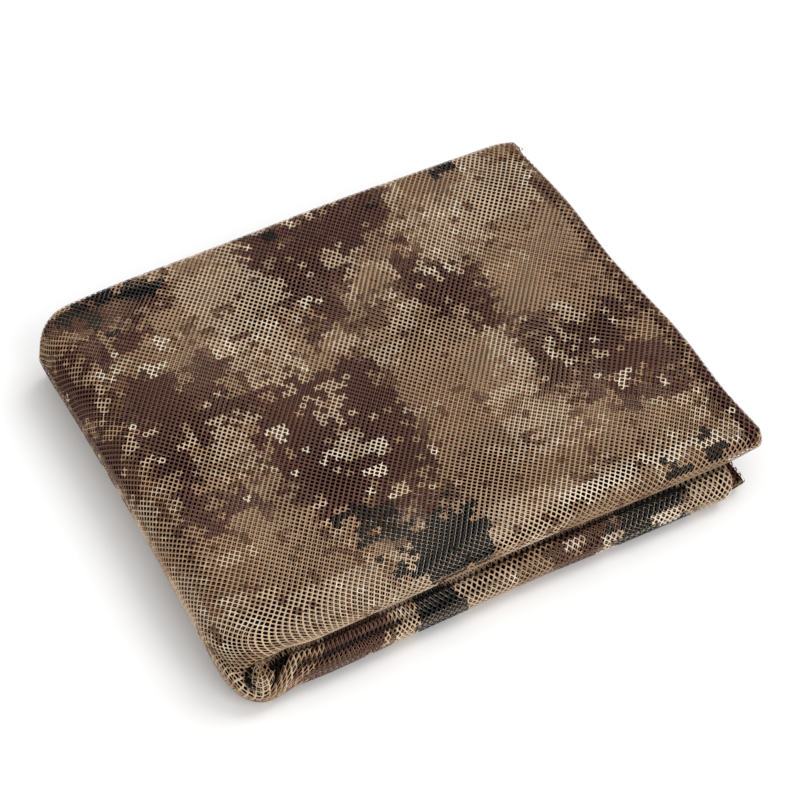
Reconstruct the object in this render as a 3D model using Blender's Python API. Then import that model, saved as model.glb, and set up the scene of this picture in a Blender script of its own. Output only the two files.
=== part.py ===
"""Folded camouflage mesh net: one knitted sheet folded into a flat packet.

The sheet lies in a back-and-forth section of six layers whose outer layer wraps
the front edge in one fat roll.  The layered strip is then folded once more in a
U-turn at the packet's left end, so two rolls lie over each other at the front.

Units are metres, +Z is up, -Y is the front.  The origin is the middle of the
packet's footprint, on the surface that it lies on.
"""

import math

import bpy
import numpy as np

# ---------------------------------------------------------------- driving sizes
LENGTH = 0.310          # upper stack, along X, left U-turn to right end
WIDTH = 0.271           # packet, along Y, front roll to back folds
SHEET = 0.0018          # doubled cloth, thickness of one modelled layer
LAYERS = 6              # layers in one stack
STACK = 0.0204          # one stack of layers, top face to bottom face
PARTING = 0.0020        # space between the two stacks
HEIGHT = 2.0 * STACK + PARTING
LAYER_PITCH = (STACK - SHEET) / (LAYERS - 1)

LOWER_SHORT = 0.0180    # lower stack's right end stops this much earlier
UPPER_END = LENGTH / 2.0
LOWER_END = UPPER_END - LOWER_SHORT
TURN_REACH = 0.0211     # how far the outer layer bulges at the left U-turn
ROLL_REACH = 0.0122     # how far the fat front roll reaches past its layers
CORNER = 0.027          # plan radius of the left end's corners
CORNER_SHARE = 0.65     # how much of that rounding the springy cloth takes
PRESSED_SHARE = 0.45    # how much of it the lower roll loses again
LOWER_FORWARD = 0.0063  # lower front roll lies this much further forward

# ------------------------------------------------------- section of one stack
# Reach of each inner fold or free end, as a distance in from the outer layer's
# own edge: odd folds lie at the back, even ones inside the front roll.
INNER_FOLDS = (
    # (joins layers, side, set back)
    ("1-2", "back", 0.0000),
    ("2-3", "front", 0.0062),
    ("3-4", "back", 0.0024),
    ("4-5", "front", 0.0054),
)
FREE_ENDS = (
    # (layer, set back)
    ("5", 0.0060),
    ("6", 0.0035),
)
LAYER_STEPS = 6         # faces across one layer
ROLL_STEPS = 12         # faces round the fat front roll
FOLD_STEPS = 5          # faces round an inner fold

# ------------------------------------------------------ stations along the strip
# Distances from the U-turn's start, close together where the corner is pinched.
NEAR_TURN = (0.0, 0.006, 0.012, 0.019, 0.028, 0.042)
RUN_STEPS = 9           # faces along the rest of a run
TURN_STEPS = 10         # faces round the U-turn

# ------------------------------------------------------------- uneven, real lie
# Soft swells of the upper face; they fade to nothing at the underside.
SWELLS = (
    # (x, y, spread along x, spread along y, rise)
    (-0.095, 0.065, 0.040, 0.036, 0.0014),
    (-0.035, 0.020, 0.034, 0.050, -0.0012),
    (0.025, 0.080, 0.046, 0.030, 0.0012),
    (0.080, 0.035, 0.030, 0.044, -0.0011),
    (0.125, 0.090, 0.030, 0.034, 0.0010),
    (0.105, -0.060, 0.040, 0.028, 0.0013),
    (0.020, -0.075, 0.042, 0.026, -0.0012),
    (-0.100, -0.075, 0.034, 0.030, 0.0013),
)
# Places where the plan outline leaves the straight edge.
OUTLINE_SHIFTS = (
    # (edge, middle along the edge, spread, shift outwards)
    ("back", -0.150, 0.034, -0.0036),
    ("back", 0.040, 0.060, 0.0018),
    ("back", 0.158, 0.010, -0.0045),
    ("front", -0.110, 0.050, 0.0018),
    ("front", 0.020, 0.040, -0.0010),
    ("left", -0.020, 0.070, -0.0012),
    ("left", 0.120, 0.030, 0.0010),
)
PARTING_TILT = 0.0016   # parting line between the rolls falls this much to the right
END_CURL = 0.0022       # underside of the upper roll's right end curls up this much
TONGUE_REACH = 0.0105   # one inner fold of the lower stack sticks out past its roll
ROLL_END_BACK = 0.0055  # outer skin of the lower roll stops short by this much
TIP_REACH = 0.0036      # upper roll's underside reaches past its top
RAGGED = 0.0012         # unevenness of the cut ends
END_ZONE = 0.045        # stretch of the run over which an end's reach grows
ROLL_SKIN = (0.003, 0.006)   # inner folds start this far behind the roll's front
TIP_FROM = (-0.4, 0.9)       # share of the half stack, from its middle to its inner face
SKIN_FROM = (-0.2, 0.6)      # share of the half stack, from its middle to its outer face
RAGGED_ALONG = 0.019         # metres of edge for each radian of unevenness
RAGGED_ACROSS = 0.0023
EDGE_DEPTH = 0.090           # an edge's own shape dies out this far inside it
CREASE_DEPTH = 0.050
SLIP_FROM = (0.30, 0.70)     # share of the height over which the lower roll's slip fades
FOOTPRINT_SHIFT = (-0.0019, 0.0036)  # brings the footprint's middle to the origin

# Pinched front left corner: the skin of the upper roll hangs over the crease.
CREASE_X = -LENGTH / 2.0 + 0.013
CREASE_SPREAD = 0.016
CREASE_SAG = 0.0050
POCKET_X = -LENGTH / 2.0 + 0.034
POCKET_SPREAD = 0.009
POCKET_DEPTH = 0.0022
CORNER_FILL = 0.0020    # lower roll swells forward beside the crease


def smoothstep(value, start, end):
    """Ease from 0 at start to 1 at end."""
    share = np.clip((value - start) / (end - start), 0.0, 1.0)
    return share * share * (3.0 - 2.0 * share)


def bell(value, centre, spread):
    """Smooth bump of height 1 at centre."""
    return np.exp(-(((value - centre) / spread) ** 2))


# --------------------------------------------------------------- flat section
def layer_height(number):
    """Height of a layer's middle in the stack: layer 1 is the outer one."""
    return STACK / 2.0 - SHEET / 2.0 - (number - 1) * LAYER_PITCH


def straight(y_from, y_to, height, steps, facing):
    """Middle line of one layer, without its last point, and its normals."""
    y = np.linspace(y_from, y_to, steps + 1)[:-1]
    points = np.stack([y, np.full_like(y, height)], axis=1)
    normals = np.tile((0.0, facing), (len(y), 1))
    return points, normals


def bend(y_centre, height_from, height_to, reach, steps, facing):
    """Half-ellipse fold between two layers, without its last point."""
    centre = (height_from + height_to) / 2.0
    radius = (height_from - height_to) / 2.0
    angle = np.linspace(0.0, math.pi, steps + 1)[:-1]
    across = reach * np.sin(angle)
    upward = radius * np.cos(angle)
    points = np.stack([y_centre + across, centre + upward], axis=1)
    normals = np.stack([across / reach**2, upward / radius**2], axis=1)
    normals /= np.linalg.norm(normals, axis=1, keepdims=True)
    return points, normals * facing


def section_path():
    """Middle line of the strip's section and its normals, inner end last.

    The line runs along layer 6 to the front, round the fat roll onto layer 1,
    then back and forth down to layer 5.
    """
    front = -WIDTH / 2.0 + SHEET / 2.0
    back = WIDTH / 2.0 - SHEET / 2.0
    roll_centre = front + ROLL_REACH
    set_back = {name: inset for name, _, inset in INNER_FOLDS}
    free_end = dict(FREE_ENDS)
    pieces = []

    def fold_centre(name, side):
        if side == "back":
            return back - set_back[name] - LAYER_PITCH / 2.0
        return front + set_back[name] + LAYER_PITCH / 2.0

    pieces.append(straight(back - free_end["6"], roll_centre, layer_height(6), LAYER_STEPS, -1.0))
    pieces.append(bend(roll_centre, layer_height(6), layer_height(1), -ROLL_REACH, ROLL_STEPS, 1.0))
    y_from = roll_centre
    facing = 1.0
    for number, (name, side, _) in enumerate(INNER_FOLDS, start=1):
        y_to = fold_centre(name, side)
        pieces.append(straight(y_from, y_to, layer_height(number), LAYER_STEPS, facing))
        reach = LAYER_PITCH / 2.0 if side == "back" else -LAYER_PITCH / 2.0
        pieces.append(
            bend(y_to, layer_height(number), layer_height(number + 1), reach, FOLD_STEPS, facing)
        )
        y_from = y_to
        facing = -facing
    end_y = back - free_end["5"]
    pieces.append(straight(y_from, end_y, layer_height(5), LAYER_STEPS, facing))
    points = np.concatenate([piece[0] for piece in pieces])
    normals = np.concatenate([piece[1] for piece in pieces])
    points = np.concatenate([points, [[end_y, layer_height(5)]]])
    normals = np.concatenate([normals, [[0.0, facing]]])
    return points, normals


# ------------------------------------------------------------ sweep of the strip
def run_stations(x_turn, x_end):
    """Places along one straight run, from the U-turn to the cut end."""
    near = x_turn + np.array(NEAR_TURN)
    rest = np.linspace(near[-1], x_end, RUN_STEPS + 1)[1:]
    return np.concatenate([near, rest])


def stations():
    """Middle and outward direction of the strip at each station, right end first."""
    offset = (STACK + PARTING) / 2.0
    narrowing = TURN_REACH / (HEIGHT / 2.0)
    x_turn = -LENGTH / 2.0 + TURN_REACH
    upper_x = run_stations(x_turn, UPPER_END)[::-1]
    angle = np.linspace(math.pi / 2.0, 3.0 * math.pi / 2.0, TURN_STEPS + 1)[1:-1]
    lower_x = run_stations(x_turn, LOWER_END)
    direction_x = np.concatenate(
        [np.zeros_like(upper_x), narrowing * np.cos(angle), np.zeros_like(lower_x)]
    )
    direction_z = np.concatenate(
        [np.ones_like(upper_x), np.sin(angle), -np.ones_like(lower_x)]
    )
    start_x = np.concatenate([upper_x, np.full_like(angle, x_turn), lower_x])
    middle_x = start_x + offset * direction_x
    middle_z = HEIGHT / 2.0 + offset * direction_z
    return middle_x, middle_z, direction_x, direction_z


def sweep(section):
    """Carry section points along the strip: rows are section points."""
    middle_x, middle_z, direction_x, direction_z = stations()
    height = section[:, 1][:, None]
    x = middle_x[None, :] + height * direction_x[None, :]
    y = np.repeat(section[:, 0][:, None], len(middle_x), axis=1)
    z = middle_z[None, :] + height * direction_z[None, :]
    return np.stack([x, y, z], axis=-1)


# ------------------------------------------------------------ uneven, real lie
def mid_share(z):
    """1 at the parting between the rolls, 0 at the top and at the underside."""
    level = np.clip(z / HEIGHT, 0.0, 1.0)
    return 4.0 * level * (1.0 - level)


def low_share(z):
    """1 in the lower roll, 0 in the upper one."""
    return 1.0 - smoothstep(z / HEIGHT, *SLIP_FROM)


def edge_share(inwards, depth):
    """1 at an edge, easing to 0 at a depth inside it."""
    return 1.0 - smoothstep(inwards, 0.0, depth)


def shift_outline(x, y, z):
    """Move the plan outline by its table, and round the left end's corners.

    The lower roll is pressed by the upper one and keeps a squarer corner.
    """
    shifts = {
        "front": (edge_share(y + WIDTH / 2.0, EDGE_DEPTH), x),
        "back": (edge_share(WIDTH / 2.0 - y, EDGE_DEPTH), x),
        "left": (edge_share(x + LENGTH / 2.0, EDGE_DEPTH), y),
    }
    moves = {edge: np.zeros_like(x) for edge in shifts}
    for edge, middle, spread, shift in OUTLINE_SHIFTS:
        share, along = shifts[edge]
        moves[edge] = moves[edge] + shift * share * bell(along, middle, spread)
    run_in = np.clip((CORNER - LENGTH / 2.0) - x, 0.0, CORNER)
    inset = CORNER - np.sqrt(CORNER**2 - run_in**2)
    rounding = CORNER_SHARE * (1.0 - PRESSED_SHARE * low_share(z))
    narrowed = y * (1.0 - rounding * inset / (WIDTH / 2.0))
    return x - moves["left"], narrowed + moves["back"] - moves["front"]


def forward_slip(x, y, z):
    """How far the lower front roll lies forward of the upper one."""
    near_front = edge_share(y + WIDTH / 2.0, EDGE_DEPTH)
    fill = CORNER_FILL * bell(x, CREASE_X, CREASE_SPREAD)
    pocket = POCKET_DEPTH * bell(x, POCKET_X, POCKET_SPREAD) * mid_share(z)
    return ((LOWER_FORWARD + fill) * low_share(z) - pocket) * near_front


def rise(x, y, z):
    """Swells of the top, tilt of the parting, sag of the end and of the crease."""
    level = z / HEIGHT
    lift = -PARTING_TILT * x / (LENGTH / 2.0) * mid_share(z)
    for centre_x, centre_y, spread_x, spread_y, height in SWELLS:
        lift = lift + height * level**2 * bell(x, centre_x, spread_x) * bell(y, centre_y, spread_y)
    lift = lift + END_CURL * smoothstep(x, LOWER_END, UPPER_END) * mid_share(z)
    at_front = edge_share(y + WIDTH / 2.0, CREASE_DEPTH)
    return lift - CREASE_SAG * bell(x, CREASE_X, CREASE_SPREAD) * mid_share(z) ** 2 * at_front


def end_reach(section, lower):
    """How far each section point lies past the mean cut end."""
    y, height = section[:, 0], section[:, 1]
    ragged = RAGGED * np.sin(y / RAGGED_ALONG + height / RAGGED_ACROSS)
    outside = height / (STACK / 2.0)
    if not lower:
        return ragged + TIP_REACH * smoothstep(-outside, *TIP_FROM)
    inside_roll = smoothstep(y + WIDTH / 2.0, *ROLL_SKIN)
    tongue = TONGUE_REACH * bell(height, layer_height(3), LAYER_PITCH) * inside_roll
    skin = ROLL_END_BACK * smoothstep(outside, *SKIN_FROM)
    return ragged + tongue - skin


def reach_ends(points, section):
    """Stretch the ends of both runs to their uneven cut line."""
    x, z = points[..., 0], points[..., 2]
    is_lower = z < HEIGHT / 2.0
    upper = end_reach(section, lower=False)[:, None] * smoothstep(x, UPPER_END - END_ZONE, UPPER_END)
    lower = end_reach(section, lower=True)[:, None] * smoothstep(x, LOWER_END - END_ZONE, LOWER_END)
    return x + np.where(is_lower, lower, upper)


def settle(points, section):
    """Move the neat packet into its uneven, hand-folded lie."""
    x, y, z = reach_ends(points, section), points[..., 1], points[..., 2]
    lift = rise(x, y, z)
    slip = forward_slip(x, y, z)
    x, y = shift_outline(x, y, z)
    shift_x, shift_y = FOOTPRINT_SHIFT
    return np.stack([x + shift_x, y - slip + shift_y, z + lift], axis=-1)


# ---------------------------------------------------------------------- mesh
def build_faces(rows, columns):
    """Quads of both sides of the sheet, its two cut ends and its two long edges."""
    index = np.arange(2 * rows * columns).reshape(2, rows, columns)
    outer, inner = index
    faces = []

    def grid(corner_a, corner_b, corner_c, corner_d):
        quads = np.stack([corner_a, corner_b, corner_c, corner_d], axis=-1)
        faces.append(quads.reshape(-1, 4))

    grid(outer[:-1, :-1], outer[1:, :-1], outer[1:, 1:], outer[:-1, 1:])
    grid(inner[:-1, :-1], inner[:-1, 1:], inner[1:, 1:], inner[1:, :-1])
    grid(outer[:-1, 0], inner[:-1, 0], inner[1:, 0], outer[1:, 0])
    grid(outer[:-1, -1], outer[1:, -1], inner[1:, -1], inner[:-1, -1])
    grid(outer[0, :-1], outer[0, 1:], inner[0, 1:], inner[0, :-1])
    grid(outer[-1, :-1], inner[-1, :-1], inner[-1, 1:], outer[-1, 1:])
    return np.concatenate(faces)


def mesh_net_material():
    """Knitted polyester mesh printed in browns."""
    material = bpy.data.materials.new("knitted_polyester_mesh")
    material.use_nodes = True
    shader = material.node_tree.nodes["Principled BSDF"]
    shader.inputs["Base Color"].default_value = (0.178, 0.122, 0.078, 1.0)
    shader.inputs["Roughness"].default_value = 0.75
    shader.inputs["Metallic"].default_value = 0.0
    return material


def build_folded_net():
    """The whole net as one closed solid."""
    line, normals = section_path()
    outer_section = line + normals * SHEET / 2.0
    inner_section = line - normals * SHEET / 2.0
    outer = settle(sweep(outer_section), line)
    inner = settle(sweep(inner_section), line)
    rows, columns = outer.shape[:2]
    corners = np.concatenate([outer.reshape(-1, 3), inner.reshape(-1, 3)])
    mesh = bpy.data.meshes.new("folded_net")
    mesh.from_pydata(corners.tolist(), [], build_faces(rows, columns).tolist())
    mesh.validate()
    mesh.update()
    mesh.materials.append(mesh_net_material())
    net = bpy.data.objects.new("folded_net", mesh)
    bpy.context.scene.collection.objects.link(net)
    return net


def main():
    """Clear the scene and build the net."""
    for old in list(bpy.data.objects):
        bpy.data.objects.remove(old)
    build_folded_net()


main()
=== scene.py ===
"""Folded camouflage net: knitted polyester mesh, printed and folded into a flat packet.

Metres, +Z up.  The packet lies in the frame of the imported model: +X to its cut right
end, -Y to its fat front rolls.  A place on the cloth is given by two coordinates:
along, which equals x on the top and goes on round the left U-turn to the underside,
and across, which equals y on the top and goes on round the front roll or back folds.
"""

import logging
import math
from dataclasses import dataclass
from enum import Enum, IntEnum
from functools import partial
from typing import NamedTuple

import bpy
import numpy as np
from mathutils import Matrix, Vector


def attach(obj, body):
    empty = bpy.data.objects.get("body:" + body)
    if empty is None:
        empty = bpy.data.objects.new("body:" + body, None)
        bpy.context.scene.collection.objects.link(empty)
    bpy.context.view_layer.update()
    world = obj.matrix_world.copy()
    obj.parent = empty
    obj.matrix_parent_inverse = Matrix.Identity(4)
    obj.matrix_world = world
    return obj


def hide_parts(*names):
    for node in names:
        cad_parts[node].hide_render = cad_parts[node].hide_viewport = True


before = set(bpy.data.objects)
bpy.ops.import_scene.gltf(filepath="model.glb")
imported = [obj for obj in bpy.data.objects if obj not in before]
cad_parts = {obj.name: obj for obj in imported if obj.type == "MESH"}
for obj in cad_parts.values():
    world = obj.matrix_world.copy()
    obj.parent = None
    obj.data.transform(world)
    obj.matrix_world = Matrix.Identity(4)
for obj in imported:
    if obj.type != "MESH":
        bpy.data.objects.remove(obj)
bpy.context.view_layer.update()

log = logging.getLogger("folded_net")
Array = np.ndarray
MM = 0.001
LEVEL_TOLERANCE = 1e-6    # metres within which a section point lies on a straight layer
SLIVER = 1e-10            # square metres under which a face is left out
KEY_FACTOR = 100003       # makes one number of two lattice numbers
WAVE_REPEAT = 0.314       # length in which a wave texture of scale 1 repeats
NODE = "folded_net"
BODY = "root"


# ------------------------------------------------------------------ small tables
class Swell(NamedTuple):
    """Soft swell of the upper face."""

    x: float
    y: float
    spread_x: float
    spread_y: float
    rise: float


class Edge(Enum):
    """The packet's edges that have a shape of their own."""

    BACK = "back"
    FRONT = "front"
    LEFT = "left"


class OutlineShift(NamedTuple):
    """Place where the plan outline leaves the straight edge."""

    edge: Edge
    middle: float
    spread: float
    shift: float


class InnerFold(NamedTuple):
    """Fold between two layers, set back from the outer layer's own edge."""

    side: Edge
    set_back: float


class Crease(NamedTuple):
    """Trough or ridge of the outer skin along a line on the cloth.

    Steep is the spread on the line's left as a share of that on its right, so
    that a small share makes a trough with one steep side under a lip.
    """

    along: float
    across: float
    end_along: float
    end_across: float
    spread: float
    rise: float
    steep: float


class Drag(NamedTuple):
    """Place where the mesh is pulled out of line, fading over its spreads; pulls in mm."""

    along: float
    across: float
    spread_along: float
    spread_across: float
    pull_along: float
    pull_across: float


class Pinch(NamedTuple):
    """Place where the cloth is gathered: its mesh is finer by a share."""

    along: float
    across: float
    spread_along: float
    spread_across: float
    share: float


SWELLS = (
    Swell(-0.095, 0.065, 0.040, 0.036, 0.0014),
    Swell(-0.035, 0.020, 0.034, 0.050, -0.0012),
    Swell(0.025, 0.080, 0.046, 0.030, 0.0012),
    Swell(0.080, 0.035, 0.030, 0.044, -0.0011),
    Swell(0.125, 0.090, 0.030, 0.034, 0.0010),
    Swell(0.105, -0.060, 0.040, 0.028, 0.0013),
    Swell(0.020, -0.075, 0.042, 0.026, -0.0012),
    Swell(-0.100, -0.075, 0.034, 0.030, 0.0013),
)
OUTLINE_SHIFTS = (
    OutlineShift(Edge.BACK, -0.150, 0.034, -0.0036),
    OutlineShift(Edge.BACK, 0.040, 0.060, 0.0018),
    OutlineShift(Edge.BACK, 0.158, 0.010, -0.0045),
    OutlineShift(Edge.FRONT, -0.110, 0.050, 0.0018),
    OutlineShift(Edge.FRONT, 0.020, 0.040, -0.0010),
    OutlineShift(Edge.LEFT, -0.020, 0.070, -0.0012),
    OutlineShift(Edge.LEFT, 0.120, 0.030, 0.0010),
)
INNER_FOLDS = (
    InnerFold(Edge.BACK, 0.0000),
    InnerFold(Edge.FRONT, 0.0062),
    InnerFold(Edge.BACK, 0.0024),
    InnerFold(Edge.FRONT, 0.0054),
)
CREASES = (
    Crease(-0.1620, -0.1440, -0.1490, -0.1452, 0.0038, -0.0070, 0.5),
    Crease(-0.1680, -0.1416, -0.1620, -0.1440, 0.0028, -0.0066, 0.6),
    Crease(-0.1762, -0.1556, -0.1845, -0.1538, 0.0020, -0.0055, 1.0),
    Crease(-0.1808, -0.1545, -0.1788, -0.1490, 0.0018, -0.0052, 1.0),
    Crease(-0.1280, -0.1240, -0.1400, -0.1320, 0.0026, 0.0010, 1.0),
    Crease(-0.1860, -0.1515, -0.2300, -0.1530, 0.0014, 0.0012, 1.0),
    Crease(-0.2300, -0.1530, -0.3060, -0.1540, 0.0014, 0.0010, 1.0),
    Crease(-0.1950, -0.1484, -0.2680, -0.1490, 0.0017, -0.0028, 1.0),
    Crease(-0.2680, -0.1490, -0.3300, -0.1475, 0.0016, -0.0014, 1.0),
    Crease(-0.1850, -0.1558, -0.3300, -0.1558, 0.0011, -0.0032, 1.0),
    Crease(-0.3300, -0.1558, -0.4700, -0.1568, 0.0011, -0.0030, 1.0),
)
MESH_DRAGS = (
    Drag(-0.040, -0.165, 0.220, 0.085, 12.5, 4.0),
    Drag(0.030, 0.115, 0.100, 0.065, 3.0, 10.0),
    Drag(0.175, 0.030, 0.045, 0.110, 9.0, 12.0),
    Drag(-0.175, -0.060, 0.030, 0.060, -2.0, -7.0),
    Drag(-0.180, 0.145, 0.030, 0.030, 9.0, 7.0),
    Drag(0.050, -0.040, 0.070, 0.050, -1.5, -3.5),
    Drag(-0.130, 0.080, 0.060, 0.050, -2.5, 0.0),
    Drag(-0.120, 0.140, 0.050, 0.030, 0.0, -5.0),
    Drag(0.140, -0.085, 0.060, 0.040, 5.0, 2.5),
    Drag(0.175, -0.160, 0.040, 0.030, -5.0, -10.0),
    Drag(0.175, 0.145, 0.050, 0.030, -7.0, 2.0),
    Drag(-0.090, 0.030, 0.050, 0.060, 0.0, 1.5),
)
PINCHES = (
    Pinch(-0.164, -0.133, 0.024, 0.013, 0.36),
    Pinch(-0.174, -0.149, 0.009, 0.007, 0.36),
)


# ---------------------------------------------------------------------- formulas
def smoothstep(value: Array, start: float, end: float) -> Array:
    """Ease from 0 at start to 1 at end."""
    share = np.clip((value - start) / (end - start), 0.0, 1.0)
    return share * share * (3.0 - 2.0 * share)


def bell(value: Array, centre: float, spread: float) -> Array:
    """Smooth bump of height 1 at centre: e to the minus squared distance."""
    return np.exp(-(((value - centre) / spread) ** 2))


# ------------------------------------------------------------------- packet's lie
@dataclass(frozen=True)
class PacketLie:
    """How the cloth lies: the solid's own sizes and formulas, at any place on the cloth."""

    length: float = 0.310
    width: float = 0.271
    sheet: float = 0.0018
    layers: int = 6
    stack: float = 0.0204
    parting: float = 0.0020
    lower_short: float = 0.0180
    turn_reach: float = 0.0211
    roll_reach: float = 0.0122
    free_end_5: float = 0.0060  # how far the free ends of layers 5 and 6 stop short
    free_end_6: float = 0.0035
    layer_points: int = 60      # steps of the section's straight layers and bends
    bend_points: int = 90
    past_roll: float = -0.12    # cloth with a greater across has come out of the front roll
    corner: float = 0.027
    corner_share: float = 0.65
    pressed_share: float = 0.45
    lower_forward: float = 0.0063
    parting_tilt: float = 0.0016
    end_curl: float = 0.0022
    tongue_layer: int = 3
    tongue_reach: float = 0.0130
    tongue_sag: float = 0.0046  # sag of the tongue's free end
    roll_end_back: float = 0.0055
    tip_reach: float = 0.0036
    ragged: float = 0.0012
    end_zone: float = 0.045
    roll_skin: tuple[float, float] = (0.003, 0.006)
    tip_from: tuple[float, float] = (-0.4, 0.9)
    skin_from: tuple[float, float] = (-0.2, 0.6)
    ragged_along: float = 0.019
    ragged_across: float = 0.0023
    edge_depth: float = 0.090
    crease_depth: float = 0.050
    slip_from: tuple[float, float] = (0.30, 0.70)
    footprint_shift: tuple[float, float] = (-0.0019, 0.0036)
    crease_inset: float = 0.013
    crease_spread: float = 0.016
    crease_sag: float = 0.0050
    pocket_inset: float = 0.034
    pocket_spread: float = 0.009
    pocket_depth: float = 0.0022
    corner_fill: float = 0.0020
    turn_slack: float = 0.110   # run beside the U-turn over which inner cloth is gathered
    edge_round: float = 0.0040  # radius over which the outer plies turn in at the cut ends
    edge_tuck: float = 0.0030   # how far they go on past that turn
    tight_share: float = 0.25   # share of that radius in the tight back folds
    closed_back: tuple[float, float] = (0.122, 0.133)
    dark_depth: float = 0.0035  # depth of trough into which hardly any light gets
    dark_share: float = 0.94    # share of light that is lost there

    @property
    def height(self) -> float:
        """Both stacks and the space between them."""
        return 2.0 * self.stack + self.parting

    @property
    def pitch(self) -> float:
        """From the middle of one layer to the next."""
        return (self.stack - self.sheet) / (self.layers - 1)

    @property
    def offset(self) -> float:
        """From the packet's mid height to the middle of one stack."""
        return (self.stack + self.parting) / 2.0

    @property
    def narrowing(self) -> float:
        """Width of the U-turn's half ellipse as a share of its height."""
        return self.turn_reach / (self.height / 2.0)

    @property
    def x_turn(self) -> float:
        """Where the runs end and the U-turn starts."""
        return -self.length / 2.0 + self.turn_reach

    @property
    def upper_end(self) -> float:
        """Cut end of the upper run."""
        return self.length / 2.0

    @property
    def lower_end(self) -> float:
        """Cut end of the lower run."""
        return self.upper_end - self.lower_short

    @property
    def edge_extra(self) -> float:
        """Cloth past a cut end's place that turns in over it."""
        return self.edge_round * (math.pi / 2.0 - 1.0) + self.edge_tuck

    @property
    def turn_middle(self) -> float:
        """The coordinate along of the U-turn's middle."""
        return self.x_turn - float(self.half_turn(np.array(self.stack / 2.0)))

    @property
    def lower_end_along(self) -> float:
        """The coordinate along of the lower run's cut end."""
        return 2.0 * self.turn_middle - self.lower_end

    def layer_height(self, number: int) -> float:
        """Height of a layer's middle in its stack."""
        return self.stack / 2.0 - self.sheet / 2.0 - (number - 1) * self.pitch

    def half_turn(self, height: Array) -> Array:
        """Half the U-turn's path: pi/4 times the sum of its quarter ellipse's half axes."""
        radius = self.offset + height
        return math.pi / 4.0 * radius * (1.0 + self.narrowing)

    def straight(
        self, y_from: float, y_to: float, height: float, facing: float
    ) -> tuple[Array, Array]:
        """Even steps of one layer, without its last point.

        Args:
            y_from: Where the layer starts.
            y_to: Where it ends.
            height: Its height in the stack.
            facing: 1 where the cloth's outer face looks up, -1 where it looks down.

        Returns:
            Points (y, height) and unit normals.
        """
        y = np.linspace(y_from, y_to, self.layer_points)[:-1]
        return np.stack([y, np.full_like(y, height)], axis=1), np.tile((0.0, facing), (len(y), 1))

    def bend(
        self, y: float, heights: tuple[float, float], reach: float, facing: float
    ) -> tuple[Array, Array]:
        """Half ellipse from one layer round to another, without its last point.

        Args:
            y: Where both layers end.
            heights: The heights of the layer that it leaves and of the one it comes to.
            reach: How far the bend goes past their ends, below 0 at the front.
            facing: 1 where the cloth's outer face looks out of the bend, -1 where it looks in.

        Returns:
            Points (y, height) and unit normals.
        """
        start, end = heights
        angle = np.linspace(0.0, math.pi, self.bend_points)[:-1]
        radius = (start - end) / 2.0
        out, up = reach * np.sin(angle), radius * np.cos(angle)
        normal = np.stack([out / reach**2, up / radius**2], axis=1)
        normal = facing * normal / np.linalg.norm(normal, axis=1, keepdims=True)
        return np.stack([y + out, (start + end) / 2.0 + up], axis=1), normal

    def section(self) -> tuple[Array, Array, Array]:
        """Middle line of the folded section, finely stepped.

        Straight layers joined by half ellipses: layer 6 to the front, the fat
        roll, layer 1, then back and forth down to layer 5.

        Returns:
            Points (y, height), unit normals, and the coordinate across of each.
        """
        front = -self.width / 2.0 + self.sheet / 2.0
        back = self.width / 2.0 - self.sheet / 2.0
        roll = front + self.roll_reach
        half = self.pitch / 2.0
        top, bottom = self.layer_height(1), self.layer_height(6)
        parts = [
            self.straight(back - self.free_end_6, roll, bottom, -1.0),
            self.bend(roll, (bottom, top), -self.roll_reach, 1.0),
        ]
        first = sum(len(line) for line, _ in parts)
        y_from, facing = roll, 1.0
        for number, fold in enumerate(INNER_FOLDS, start=1):
            at_back = fold.side is Edge.BACK
            y_to = back - fold.set_back - half if at_back else front + fold.set_back + half
            heights = self.layer_height(number), self.layer_height(number + 1)
            parts.append(self.straight(y_from, y_to, heights[0], facing))
            parts.append(self.bend(y_to, heights, half if at_back else -half, facing))
            y_from, facing = y_to, -facing
        parts.append(self.straight(y_from, back - self.free_end_5, self.layer_height(5), facing))
        line, normal = (np.concatenate(arrays) for arrays in zip(*parts))
        skin = line + normal * self.sheet / 2.0
        steps = np.linalg.norm(np.diff(skin, axis=0), axis=1)
        across = np.concatenate([[0.0], np.cumsum(steps)])
        return line, normal, across - across[first] + skin[first, 0]

    def mid_share(self, z: Array) -> Array:
        """1 at the parting between the rolls, 0 at the top and the underside."""
        level = np.clip(z / self.height, 0.0, 1.0)
        return 4.0 * level * (1.0 - level)

    def low_share(self, z: Array) -> Array:
        """1 in the lower roll, 0 in the upper one."""
        return 1.0 - smoothstep(z / self.height, *self.slip_from)

    def at_front(self, y: Array, depth: float) -> Array:
        """1 at the front edge, easing to 0 at a depth inside it."""
        return 1.0 - smoothstep(y + self.width / 2.0, 0.0, depth)

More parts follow.
